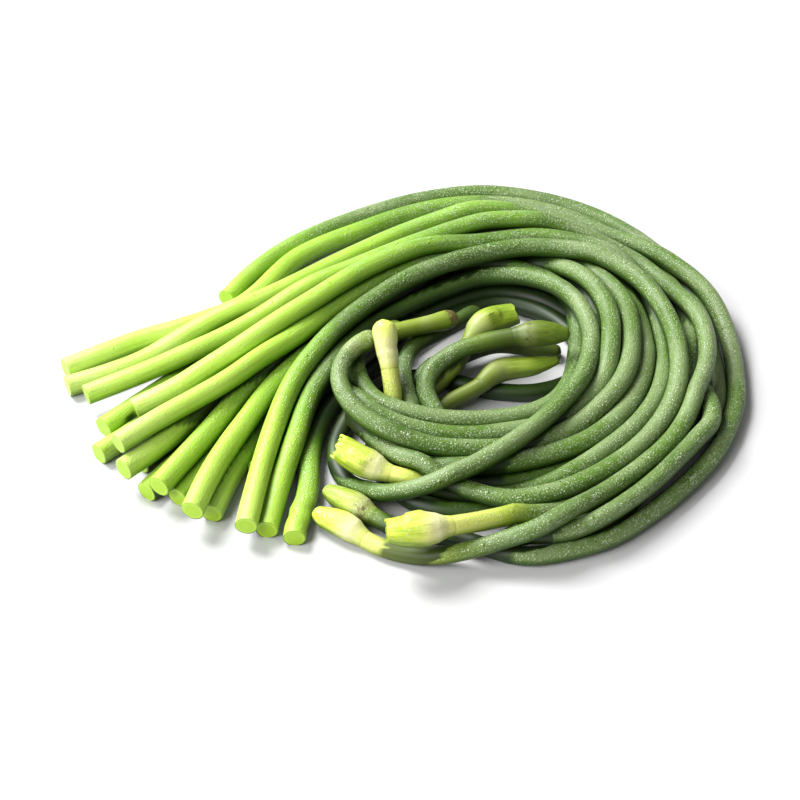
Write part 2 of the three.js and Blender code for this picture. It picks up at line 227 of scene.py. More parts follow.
def edit(piece: Object, choose: Callable[[BMesh], Iterable], mode: str) -> None:
    """Enters edit mode on a piece with only the chosen edges or faces selected.

    Args:
        piece: Object to edit.
        choose: Gives the edges or faces to select.
        mode: EDGE or FACE.
    """
    select_only(piece)
    bpy.ops.object.mode_set(mode="EDIT")
    bpy.ops.mesh.select_mode(type=mode)
    bpy.ops.mesh.select_all(action="DESELECT")
    mesh = bmesh.from_edit_mesh(piece.data)
    for element in choose(mesh):
        element.select_set(True)
    mesh.select_flush_mode()
    bmesh.update_edit_mesh(piece.data)


def near_face(mesh: BMesh) -> list[BMFace]:
    """The face that closes a straight rod at its near end."""
    return [min(mesh.faces, key=lambda face: face.calc_center_median().x)]


def near_rim(mesh: BMesh) -> list[BMEdge]:
    """The edges round that face."""
    return list(near_face(mesh)[0].edges)


def far_face(mesh: BMesh) -> list[BMFace]:
    """The face that closes a straight rod at its far end."""
    return [max(mesh.faces, key=lambda face: face.calc_center_median().x)]


@dataclass
class ScapeLine:
    """The line and girth of a scape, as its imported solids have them.

    Attributes:
        look: The scape.
        centres: Centres of the solids' rings, from the cut end to the bud's tip.
        radii: Radius of each ring.
        necks: Number of rings that belong to the stalk.
    """

    look: ScapeLook
    centres: list[Vector] = field(default_factory=list)
    radii: list[float] = field(default_factory=list)
    necks: int = 0

    def read(self, nodes: dict[str, Object]) -> "ScapeLine":
        """Reads the rings of the stalk and of the bud.

        Args:
            nodes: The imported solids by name.

        Returns:
            This line.
        """
        stalk = self.rings_of(nodes[self.look.stalk_node])
        if stalk[0][1] < stalk[-1][1]:
            stalk.reverse()
        bud = self.rings_of(nodes[self.look.bud_node])
        neck = stalk[-1][0]
        if (bud[-1][0] - neck).length < (bud[0][0] - neck).length:
            bud.reverse()
        self.necks = len(stalk)
        for centre, radius in stalk + bud[1:]:
            self.centres.append(centre)
            self.radii.append(radius)
        return self

    @staticmethod
    def rings_of(node: Object) -> list[tuple[Vector, float]]:
        """Centre and radius of each ring of a packed tube, from one end to the other.

        The flat end of a tube is a fan of triangles, so that the fan's first corner has the most
        edges of all. Its neighbours with fewer edges than an inner corner are the rest of the
        end's ring, and every next ring is made of the neighbours of the last.

        Args:
            node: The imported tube.

        Returns:
            The rings in order.
        """
        tube = bmesh.new()
        tube.from_mesh(node.data)
        bmesh.ops.remove_doubles(tube, verts=tube.verts, dist=WELD)
        corner = max(tube.verts, key=lambda vert: len(vert.link_edges))
        beside = {edge.other_vert(corner) for edge in corner.link_edges}
        ring = {corner} | {vert for vert in beside if len(vert.link_edges) < INNER_EDGES}
        seen: set[BMVert] = set()
        rings: list[tuple[Vector, float]] = []
        while ring:
            centre = sum((vert.co for vert in ring), Vector()) / len(ring)
            rings.append((centre, max((vert.co - centre).length for vert in ring)))
            seen |= ring
            ring = {edge.other_vert(vert) for vert in ring for edge in vert.link_edges} - seen
        tube.free()
        return rings

    def guide(self) -> Object:
        """A smooth curve through the rings' centres, to bend straight forms along.

        Returns:
            The curve's object.
        """
        curve = bpy.data.curves.new(f"guide_{self.look.number:02d}", "CURVE")
        curve.dimensions = "3D"
        curve.twist_mode = "MINIMUM"
        curve.use_deform_bounds = False
        spline = curve.splines.new("BEZIER")
        spline.bezier_points.add(len(self.centres) - 1)
        for point, centre in zip(spline.bezier_points, self.centres):
            point.co = centre
        for point in spline.bezier_points:
            point.handle_left_type = point.handle_right_type = "AUTO"
        guide = bpy.data.objects.new(curve.name, curve)
        bpy.context.scene.collection.objects.link(guide)
        bpy.context.view_layer.update()
        return guide

    def along(self, guide: Object) -> np.ndarray:
        """Distance of each ring from the cut end, measured on the guide curve.

        Args:
            guide: The curve.

        Returns:
            The distances in the rings' order.
        """
        steps = [0.0] + [(b - a).length for a, b in zip(self.centres, self.centres[1:])]
        chords = np.cumsum(steps)
        return chords * guide.data.splines[0].calc_length() / chords[-1]


@dataclass
class Heap:
    """The heap's height over a grid of places, to tell what lies open to mist and where shade is
    painted.

    Attributes:
        lines: Every scape's line.
        cell: Width of a cell of the grid.
        reach: Half the width of the grid.
        well: Half the width of the widest hollow that counts as a well.
        rounds: Times that the brim over the wells is smoothed.
        cover: Depths under the topmost skin between which a point passes from open to hidden, and
            into painted shade.
        depth: Depths under the wells' brim between which it passes from open to painted shade.
        down: Openness that is left to skin that faces down, so that shade is painted on undersides.
        slope: Upward part of the normal between which skin passes from facing down to up.
        tops: Height of the topmost skin over each cell.
        filled: The same with every well filled up to its brim.
    """

    lines: Sequence[ScapeLine]
    cell: float = 1.5 * MM
    reach: float = 165 * MM
    well: float = 32 * MM
    rounds: int = 8
    cover: Span = (2.5 * MM, 8 * MM)
    depth: Span = (5 * MM, 18 * MM)
    down: float = 0.3
    slope: Span = (-0.3, 0.8)
    tops: np.ndarray = field(init=False)
    filled: np.ndarray = field(init=False)

    def __post_init__(self) -> None:
        """Fills both grids."""
        side = 2 * round(self.reach / self.cell)
        self.tops = np.zeros((side, side))
        for line in self.lines:
            self.lay(line)
        self.filled = self.spread(self.spread(self.tops, np.maximum), np.minimum)
        for _ in range(self.rounds):
            beside = [np.roll(self.filled, shift, axis) for axis in (0, 1) for shift in (-1, 1)]
            self.filled = (self.filled + sum(beside)) / 5

    def spread(self, grid: np.ndarray, extreme: np.ufunc) -> np.ndarray:
        """The highest or lowest value within a well's reach of each cell.

        Args:
            grid: The grid.
            extreme: Maximum or minimum.

        Returns:
            A new grid.
        """
        cells = round(self.well / self.cell)
        for axis in (0, 1):
            moved = [np.roll(grid, shift, axis) for shift in range(-cells, cells + 1)]
            grid = extreme.reduce(moved)
        return grid

    def lay(self, line: ScapeLine) -> None:
        """Raises the grid to the upper side of one scape.

        Args:
            line: The scape's line.
        """
        rows = np.array(line.centres)
        steps = np.linalg.norm(np.diff(rows, axis=0), axis=1)
        along = np.concatenate(([0.0], np.cumsum(steps)))
        spots = np.arange(0.0, along[-1], self.cell)
        samples = np.stack([np.interp(spots, along, rows[:, axis]) for axis in range(3)], axis=1)
        radii = np.interp(spots, along, line.radii)
        near = math.ceil(max(radii) / self.cell)
        for shift in itertools.product(range(-near, near + 1), repeat=2):
            cells = self.cells(samples) + shift
            apart = (cells + 0.5) * self.cell - self.reach - samples[:, :2]
            rise = radii**2 - (apart**2).sum(axis=1)
            top = np.where(rise > 0, samples[:, 2] + np.sqrt(np.maximum(rise, 0)), 0.0)
            np.maximum.at(self.tops, (cells[:, 0], cells[:, 1]), top)

    def cells(self, rows: np.ndarray) -> np.ndarray:
        """Cell of the grid under each place."""
        return np.floor((rows[:, :2] + self.reach) / self.cell).astype(int)

    def openness_and_light(self, mesh: Mesh) -> np.ndarray:
        """How open each point of a bent piece lies, which also sets how much shade is painted on
        it.

        Args:
            mesh: The bent piece.

        Returns:
            A share from 0, buried or deep in the heap, to 1, open above; skin that faces down keeps
            less, so that shade is painted on it.
        """
        rows = vectors(mesh, "co")
        column, row = self.cells(rows).T
        # Painted shade: points buried under other stalks or deep in a well lose openness, so their
        # colour is darkened; mist misses them too.
        clear = 1.0 - smooth(self.tops[column, row] - rows[:, 2], *self.cover)
        high = 1.0 - smooth(self.filled[column, row] - rows[:, 2], *self.depth)
        # Painted shade: skin that faces down keeps only part of its openness, so undersides are
        # darker.
        facing = smooth(vectors(mesh, "normal")[:, 2], *self.slope)
        return clear * high * (self.down + (1.0 - self.down) * facing)


@dataclass
class StraightRod:
    """A straight rod along +X, shaped and then bent.

    Attributes:
        name: Name of the piece.
        start: Distance of its near end from the scape's cut.
        length: Its length.
        sides: Faces round it.
        step: Length of a face along it.
        fine: Cuts across each face in a second round, as one round makes no more than 100.
    """

    name: str
    start: float
    length: float
    sides: int = 28
    step: float = 2.2 * MM
    fine: int = 3

    def build(self) -> Object:
        """A rod of unit radius, a millimetre, with its long faces cut across.

        Returns:
            The rod, closed at both ends.
        """
        bpy.ops.object.select_all(action="DESELECT")
        bpy.ops.mesh.primitive_cylinder_add(
            vertices=self.sides, radius=MM, depth=self.length,
            location=(self.start + self.length / 2, 0, 0), rotation=(0, math.pi / 2, 0))
        rod = bpy.context.object
        rod.name = rod.data.name = self.name
        bpy.ops.object.transform_apply(location=True, rotation=True, scale=True)
        coarse = max(1, round(self.length / self.step / (self.fine + 1)) - 1)
        for cuts in (coarse, self.fine):
            edit(rod, self.lengthwise, "EDGE")
            bpy.ops.mesh.subdivide(number_cuts=cuts)
            bpy.ops.object.mode_set(mode="OBJECT")
        return rod

    @staticmethod
    def lengthwise(mesh: BMesh) -> list[BMEdge]:
        """The edges that run along a straight rod."""
        return [e for e in mesh.edges if abs(e.verts[0].co.x - e.verts[1].co.x) > 10 * WELD]

    @staticmethod
    def bend(rod: Object, guide: Object) -> None:
        """Bends a straight form along a curve, and presses it flat where it meets the surface.

        Args:
            rod: The form.
            guide: The curve.
        """
        select_only(rod)
        follow = rod.modifiers.new("follow", "CURVE")
        follow.object = guide
        follow.deform_axis = "POS_X"
        bpy.ops.object.modifier_apply(modifier=follow.name)
        rows = vectors(rod.data, "co")
        rows[:, 2] = np.maximum(rows[:, 2], 0.0)
        set_places(rod.data, rows)


@dataclass
class Stalk:
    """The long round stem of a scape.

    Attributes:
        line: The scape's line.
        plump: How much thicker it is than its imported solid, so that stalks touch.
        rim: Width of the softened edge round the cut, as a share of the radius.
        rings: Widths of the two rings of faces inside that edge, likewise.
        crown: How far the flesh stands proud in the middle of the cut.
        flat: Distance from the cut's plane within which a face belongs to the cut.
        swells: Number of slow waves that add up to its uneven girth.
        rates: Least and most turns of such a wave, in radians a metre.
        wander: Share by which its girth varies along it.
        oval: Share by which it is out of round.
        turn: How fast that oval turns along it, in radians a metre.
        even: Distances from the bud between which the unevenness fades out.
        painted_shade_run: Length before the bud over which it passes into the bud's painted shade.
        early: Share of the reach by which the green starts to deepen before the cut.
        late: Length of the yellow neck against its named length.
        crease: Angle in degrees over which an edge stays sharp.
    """

    line: ScapeLine
    plump: float = 0.18 * MM
    rim: float = 0.35 / 3
    rings: Span = (0.2, 0.3)
    crown: float = 0.06 * MM
    flat: float = 0.02 * MM
    swells: int = 4
    rates: Span = (60, 130)
    wander: float = 0.022
    oval: float = 0.03
    turn: float = 9.0
    even: Span = (30 * MM, 2 * MM)
    painted_shade_run: float = 34 * MM
    early: float = 0.1
    late: float = 1.6
    crease: float = 50.0

    def build(
        self, guide: Object, heap: Heap, finish: "StalkSkin", flesh: "CutFlesh"
    ) -> Object:
        """Models, bends and dresses the stalk.

        Args:
            guide: Curve to bend it along.
            heap: The heap that it lies in.
            finish: Its skin.
            flesh: The look of the cut end.

        Returns:
            The finished piece.
        """
        look = self.line.look
        along = self.line.along(guide)
        length = along[self.line.necks - 1]
        stalk = StraightRod(f"scape_stalk_{look.number:02d}", 0.0, length).build()
        self.soften_cut(stalk)
        rows = vectors(stalk.data, "co")
        radii = np.interp(rows[:, 0], along, self.line.radii) + self.plump
        girth = radii * self.unevenness(rows, length)
        rows[:, 1:] *= (girth / MM)[:, None]
        set_places(stalk.data, rows)
        set_attribute(stalk.data, STRAIGHT, rows)
        set_attribute(stalk.data, TINT, self.tint(rows[:, 0], length))
        StraightRod.bend(stalk, guide)
        # Painted shade: the neck darkens towards a bud that lies deep in the heap.
        painted_well_shade = look.painted_well_shade * smooth(rows[:, 0], length - self.painted_shade_run, length)
        set_attribute(stalk.data, OPEN_AND_LIT, heap.openness_and_light(stalk.data) * (1.0 - painted_well_shade))
        bpy.ops.object.shade_smooth_by_angle(angle=math.radians(self.crease))
        stalk.data.materials.append(finish.material())
        stalk.data.materials.append(flesh.material())
        self.paint_cut(stalk.data, rows)
        return stalk

    def soften_cut(self, stalk: Object) -> None:
        """Softens the cut's edge and lets its flesh stand a little proud in the middle.

        Args:
            stalk: The straight rod, still of unit radius.
        """
        edit(stalk, near_rim, "EDGE")
        bpy.ops.mesh.bevel(offset=self.rim * MM, segments=2, affect="EDGES")
        bpy.ops.object.mode_set(mode="OBJECT")
        edit(stalk, near_face, "FACE")
        for width in self.rings:
            bpy.ops.mesh.inset(thickness=width * MM)
        bpy.ops.mesh.poke(offset=self.crown)
        bpy.ops.object.mode_set(mode="OBJECT")

    def unevenness(self, rows: np.ndarray, length: float) -> np.ndarray:
        """Slow swellings and a slight oval, which both fade at the neck.

        Args:
            rows: Places on the unit rod.
            length: The stalk's length.

        Returns:
            A factor on the radius at each place.
        """
        draw = Random(self.line.look.number)
        waves = [(draw.uniform(*self.rates), draw.uniform(0, math.tau)) for _ in range(self.swells)]
        x = rows[:, 0]
        swell = sum(np.sin(x * rate + phase) for rate, phase in waves) / len(waves)
        angle = np.arctan2(rows[:, 2], rows[:, 1])
        turn = self.turn * x + draw.uniform(0, math.tau)
        oval = np.cos(2 * angle + turn)
        fade = 1.0 - smooth(x, length - self.even[0], length - self.even[1])
        return 1.0 + fade * (self.wander * swell + self.oval * oval)

    def tint(self, x: np.ndarray, length: float) -> np.ndarray:
        """How the green runs along the stalk: pale, deep, and yellow at the neck.

        Args:
            x: Distances from the cut.
            length: The stalk's length.

        Returns:
            The attribute "tint" at each of them.
        """
        look = self.line.look
        rise = smooth(x / length, -self.early * look.reach, look.reach)
        deep = look.green + (1.0 - look.green) * rise
        neck = smooth(x, length - self.late * look.neck * MM, length)
        return 0.5 * deep + 0.5 * look.ripe * neck

    def paint_cut(self, mesh: Mesh, straight: np.ndarray) -> None:
        """Gives the cut's faces the second material.

        Args:
            mesh: The stalk.
            straight: Places on the straight form.
        """
        for face in mesh.polygons:
            if all(straight[vertex, 0] < self.flat for vertex in face.vertices):
                face.material_index = 1


@dataclass
class Bud:
    """The flower bud of a scape, in its ribbed wrapper.

    Places along it are shares of its length.

    Attributes:
        line: The scape's line.
        plump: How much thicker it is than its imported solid.
        step: Length of a face along it.
        crease: Angle in degrees over which an edge stays sharp.
        soften: How far to each side the corners between packed rings are rounded.
        joint: Length from the neck over which that rounding comes in.
        ribs: Number of ribs round the wrapper.
        rib_depth: Share of the radius by which the ribs stand out.
        wrapper: Places between which the ribs rise.
        twist: Most that the ribs turn over the length, in radians.
        slim: Ribs of a bud without a wrapper, against those of one with it.
        faint: Its fibre lines, likewise.
        pinch: Place, half width and height of the waist between the neck and the collar.
        collar: Those of the swelling on which the wrapper stands.
        ring: Those of the slight ring round a knob.
        flap: Height of the fold that stands out of a cut wrapper.
        flap_rise: Places between which the fold rises.
        flap_fall: Places between which it falls away.
        flap_width: Its half width, in radians.
        fold_turn: Least and most turn of the fold, in radians.
        back: Turn, half width and height of a second fold, against the first.
        back_rise: Places between which the second fold rises.
        hollow: Depth of the hollow in a cut beak.
        moves: Moves that make the hollow, a stub in it and the stub's core, as shares of its depth.
        wall: Thickness of the wrapper round that hollow, as a share of the radius.
        tips: Place at which each sort of whole tip starts to close.
        closed: Share of the tip's section that has closed at its end.
        rounding: How late the tip closes.
        flattened: Places between which the bud grows flat.
        flatness: Share by which a wrapped bud is flat at its end, and a slim one.
        torn: Depth to which a ragged end is torn, and a trimmed one.
        tears: Height, number and turn of each set of notches in it.
        tear_range: Shares of that depth that the notches add or take off, and that all have.
        end: Places between which the notches come in.
        knob_start: Place in the run of colours at which a knob starts.
        knob_run: Length of the part of that run that a knob shows.
        stained: Middle and half width of the spots on a wrapped bud.
        tip_stained: Places between which the spots of a slim one come in.
        paling: Places between which a bud turns pale.
    """

    line: ScapeLine
    plump: float = 0.15 * MM
    step: float = 0.7 * MM
    crease: float = 55.0
    soften: float = 1.6 * MM
    joint: float = 3 * MM
    ribs: int = 11
    rib_depth: float = 0.035
    wrapper: Span = (0.26, 0.5)
    twist: float = 0.8
    slim: float = 0.2
    faint: float = 0.15
    pinch: Triple = (0.10, 0.04, -0.035)
    collar: Triple = (0.24, 0.05, 0.04)
    ring: Triple = (0.30, 0.05, 0.04)
    flap: float = 1.1 * MM
    flap_rise: Span = (0.36, 0.52)
    flap_fall: Span = (0.70, 0.73)
    flap_width: float = 0.42
    fold_turn: Span = (0.9, 2.1)
    back: Triple = (2.1, 0.4, 0.6)
    back_rise: Span = (0.5, 1.0)
    hollow: float = 2.2 * MM
    moves: Triple = (-0.5, 0.3, -0.6)
    wall: float = 0.17
    tips: dict[BudKind, float] = field(default_factory=lambda: {
        BudKind.KNOB: 0.86, BudKind.BLUNT: 0.87, BudKind.POINTED: 0.93, BudKind.LONG: 0.96})
    closed: float = 0.96
    rounding: float = 2.4
    flattened: Span = (0.45, 1.0)
    flatness: Span = (0.16, 0.05)
    torn: Span = (2.2 * MM, 0.7 * MM)
    tears: Sequence[tuple[float, int, int]] = ((1.0, 1, 1), (0.8, 3, 2), (0.6, 7, 1))
    tear_range: Span = (0.4, 0.6)
    end: Span = (0.88, 1.0)
    knob_start: float = 0.24
    knob_run: float = 0.26
    stained: Span = (0.24, 0.16)
    tip_stained: Span = (0.45, 0.9)
    paling: Span = (0.0, 0.2)

    def build(self, guide: Object, heap: Heap, finish: "BudSkin") -> Object:
        """Models, bends and dresses the bud.

        Args:
            guide: Curve to bend it along.
            heap: The heap that it lies in.
            finish: Its skin.

        Returns:
            The finished piece.
        """
        look = self.line.look
        along = self.line.along(guide)
        start = along[self.line.necks - 1]
        length = along[-1] - start
        bud = StraightRod(f"scape_bud_{look.number:02d}", start, length, step=self.step).build()
        if look.kind.cut:
            self.open_beak(bud)
        rows = vectors(bud.data, "co")
        share = np.clip((rows[:, 0] - start) / length, 0.0, 1.0)
        radii = self.softened(rows[:, 0], along) + self.plump
        shaped = self.shape(rows, share, radii)
        set_places(bud.data, shaped)
        set_attribute(bud.data, STRAIGHT, shaped)
        self.mark(bud.data, share)
        StraightRod.bend(bud, guide)
        # Painted shade: a bud deep in the heap gets less openness, so its colour is darkened.
        set_attribute(bud.data, OPEN_AND_LIT, heap.openness_and_light(bud.data) * (1.0 - look.painted_well_shade))
        bpy.ops.object.shade_smooth_by_angle(angle=math.radians(self.crease))
        bud.data.materials.append(finish.material())
        return bud

    def mark(self, mesh: Mesh, share: np.ndarray) -> None:
        """Stores what the finish reads of the bud.

        Args:
            mesh: The bud.
            share: Share of its length at each vertex.
        """
        look = self.line.look
        knob = look.kind is BudKind.KNOB
        wrapped = look.kind.wrapped
        spots = hump(share, *self.stained) if wrapped else smooth(share, *self.tip_stained)
        set_attribute(mesh, SHARE, self.knob_start + self.knob_run * share if knob else share)
        lined = 1.0 if wrapped else self.faint
        set_attribute(mesh, RIBBED, smooth(share, *self.wrapper) * lined)
        set_attribute(mesh, STAIN, look.stain * spots)
        set_attribute(mesh, PALE, look.pale * smooth(share, *self.paling))
        set_attribute(mesh, TINT, np.full(len(share), 0.5 + 0.5 * look.ripe))

    def open_beak(self, bud: Object) -> None:
        """Sinks a hollow into the cut end of the beak, with a stub of the next layer in it.

        Args:
            bud: The straight rod, still of unit radius.
        """
        edit(bud, far_face, "FACE")
        for move in self.moves:
            bpy.ops.mesh.inset(thickness=self.wall * MM)
            bpy.ops.mesh.extrude_region_move(
                TRANSFORM_OT_translate={"value": (move * self.hollow, 0, 0)})
        bpy.ops.object.mode_set(mode="OBJECT")

    def softened(self, x: np.ndarray, along: np.ndarray) -> np.ndarray:
        """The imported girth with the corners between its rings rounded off.

        Args:
            x: Distances from the scape's cut.
            along: Those of the rings.

        Returns:
            The radius at each distance.
        """
        radii = np.interp(x, along, self.line.radii)
        offsets = np.linspace(-self.soften, self.soften, 5)
        mean = sum(np.interp(x + offset, along, self.line.radii) for offset in offsets) / 5
        start = along[self.line.necks - 1]
        return radii + smooth(x, start, start + self.joint) * (mean - radii)

    def shape(self, rows: np.ndarray, share: np.ndarray, radii: np.ndarray) -> np.ndarray:
        """Gives the straight bud its neck, ribs, folds and end.

        Args:
            rows: Places on the unit rod.
            share: Share of the bud's length at each place.
            radii: Radius wanted at each place.

        Returns:
            The new places.
        """
        kind = self.line.look.kind
        draw = Random(BUD_SEEDS + self.line.look.number)
        angle = np.arctan2(rows[:, 2], rows[:, 1])
        skin = np.hypot(rows[:, 1], rows[:, 2]) / MM
        phase = draw.uniform(0, math.tau)
        twist = draw.uniform(-self.twist, self.twist)
        ribs = np.cos(self.ribs * angle + phase + twist * share)
        ribs += 0.5 * np.cos((self.ribs - 4) * angle - 2 * phase)
        depth = self.rib_depth * (1.0 if kind.wrapped else self.slim)
        factor = 1.0 + smooth(share, *self.wrapper) * depth * ribs
        if kind.wrapped:
            factor += hump(share, *self.pinch) + hump(share, *self.collar)
        if kind is BudKind.KNOB:
            factor += hump(share, *self.ring)
        radius = radii * factor
        if kind.cut:
            radius = radius + self.folds(share, angle - draw.uniform(*self.fold_turn))
        else:
            near = np.clip((share - self.tips[kind]) / (1.0 - self.tips[kind]), 0.0, 1.0)
            radius = radius * np.sqrt(1.0 - self.closed * near**self.rounding)
        flat = smooth(share, *self.flattened) * self.flatness[0 if kind.wrapped else 1]
        shaped = rows.copy()
        shaped[:, 1] = np.cos(angle) * skin * radius * (1.0 + flat)
        shaped[:, 2] = np.sin(angle) * skin * radius * (1.0 - flat)
        if kind.cut:
            shaped[:, 0] -= self.notches(angle, phase) * smooth(share, *self.end)
        return shaped

    def folds(self, share: np.ndarray, angle: np.ndarray) -> np.ndarray:
        """The two folds that stand out of a cut wrapper.

        Args:
            share: Share of the bud's length at each place.
            angle: Angle from the middle of the first fold.

        Returns:
            Their height at each place.
        """
        turned = np.angle(np.exp(1j * angle))
        run = np.minimum(smooth(share, *self.flap_rise), 1.0 - smooth(share, *self.flap_fall))
        second = hump(turned, *self.back) * smooth(share, *self.back_rise)
        return self.flap * (hump(turned, 0.0, self.flap_width) * run + second)

    def notches(self, angle: np.ndarray, phase: float) -> np.ndarray:
        """How far the end of a cut beak is torn back.

        Args:
            angle: Angle of each place round the bud.
            phase: Turn of the whole pattern.

        Returns:
            The depth of its notches there.
        """
        waves = sum(size * np.cos(count * angle + turns * phase)
                    for size, count, turns in self.tears)
        depth = self.torn[0 if self.line.look.kind is BudKind.RAGGED else 1]
        vary, mean = self.tear_range
        return depth * (waves * vary + mean)


@dataclass
class Nodes:
    """A small helper that adds and joins the nodes of a tree.

    Attributes:
        tree: The tree.
    """

    tree: ShaderNodeTree

    def add(self, kind: str, **values: object) -> Node:
        """Adds a node.

        Args:
            kind: Its type's name.
            **values: Properties of the node, or inputs where the name starts with "in_".

        Returns:
            The node.
        """
        node = self.tree.nodes.new(kind)
        for name, value in values.items():
            if name.startswith("in_"):
                node.inputs[name[3:].replace("_", " ")].default_value = value
            else:
                setattr(node, name, value)
        return node

    def join(self, source: NodeSocket, target: NodeSocket) -> None:
        """Links one socket to another."""
        self.tree.links.new(source, target)

    def read(self, name: str, output: str) -> NodeSocket:
        """A mesh attribute's value."""
        return self.add("ShaderNodeAttribute", attribute_name=name).outputs[output]

    def maths(self, operation: str, first: NodeSocket | float, second: NodeSocket | float,
              clamp: bool = False) -> NodeSocket:
        """Does one sum on two numbers.

        Args:
            operation: Name of the sum.
            first: A number or a socket.
            second: Likewise.
            clamp: Whether the result is kept between 0 and 1.

        Returns:
            The result.
        """
        node = self.add("ShaderNodeMath", operation=operation, use_clamp=clamp)
        for socket, value in zip(node.inputs, (first, second)):
            if isinstance(value, (int, float)):
                socket.default_value = value
            else:
                self.join(value, socket)
        return node.outputs[0]

    def times(self, first: NodeSocket, second: NodeSocket | float) -> NodeSocket:
        """Two numbers multiplied."""
        return self.maths("MULTIPLY", first, second)

    def highest(self, values: Sequence[NodeSocket]) -> NodeSocket:
        """The highest of several numbers."""
        return reduce(lambda first, second: self.maths("MAXIMUM", first, second), values)

    def ranged(self, value: NodeSocket, low: float, high: float, start: float = 0.0,
               end: float = 1.0) -> NodeSocket:
        """Carries a value smoothly from one range to another.

        Args:
            value: The value.
            low: Value that gives the start.
            high: Value that gives the end.
            start: Result at or under the low value.
            end: Result at or over the high one.

        Returns:
            The result.
        """
        node = self.add("ShaderNodeMapRange", interpolation_type="SMOOTHSTEP", in_From_Min=low,
                        in_From_Max=high, in_To_Min=start, in_To_Max=end)
        self.join(value, node.inputs["Value"])
        return node.outputs["Result"]

    def ramp(self, value: NodeSocket, stops: Stops) -> NodeSocket:
        """Turns a value into a colour.

        Args:
            value: The value.
            stops: Values and their colours.

        Returns:
            The colour.
        """
        node = self.add("ShaderNodeValToRGB")
        elements = node.color_ramp.elements
        while len(elements) < len(stops):
            elements.new(0.5)
        for element, (place, colour) in zip(elements, stops):
            element.position = place
            element.color = (*colour, 1.0)
        self.join(value, node.inputs["Fac"])
        return node.outputs["Color"]

    def mix(self, share: NodeSocket | float, first: NodeSocket | Colour,
            second: NodeSocket | Colour, blend: str = "MIX") -> NodeSocket:
        """Mixes two colours.

        Args:
            share: Share of the second.
            first: A colour or a socket.
            second: Likewise.
            blend: Way of mixing.

        Returns:
            The mixture.
        """
        node = self.add("ShaderNodeMix", data_type="RGBA", blend_type=blend)
        for socket, value in zip((node.inputs[0], node.inputs[6], node.inputs[7]),
                                 (share, first, second)):
            if isinstance(value, NodeSocket):
                self.join(value, socket)
            else:
                socket.default_value = value if isinstance(value, float) else (*value, 1.0)
        return node.outputs[2]

    def over(self, place: NodeSocket, kind: str, **values: object) -> Node:
        """Adds a node that reads a place.

        Args:
            place: The place.
            kind: The type's name.
            **values: Properties and inputs, as for any node.

        Returns:
            The node.
        """
        node = self.add(kind, **values)
        self.join(place, node.inputs["Vector"])
        return node

    def stretched(self, place: NodeSocket, scale: Triple) -> NodeSocket:
        """A place with each axis scaled."""
        return self.over(place, "ShaderNodeMapping", in_Scale=scale).outputs["Vector"]

    def noise(self, place: NodeSocket, scale: float, detail: float) -> NodeSocket:
        """Soft noise from 0 to 1."""
        node = self.over(place, "ShaderNodeTexNoise", in_Scale=scale, in_Detail=detail)
        return node.outputs["Fac"]

    def patch(self, place: NodeSocket, pattern: Quad, least: float) -> NodeSocket:
        """Soft patches of noise.

        Args:
            place: The place that they follow.
            pattern: Scale, detail, and the values of noise between which a patch comes in.
            least: Result between the patches.

        Returns:
            A value from the least to 1.
        """
        scale, detail, low, high = pattern
        return self.ranged(self.noise(place, scale, detail), low, high, least, 1.0)

    def strayed(self, value: NodeSocket, noise: NodeSocket, reach: float) -> NodeSocket:
        """A value that soft noise moves up and down by no more than the reach."""
        return self.maths("ADD", value, self.ranged(noise, *MOST_NOISE, -reach, reach))


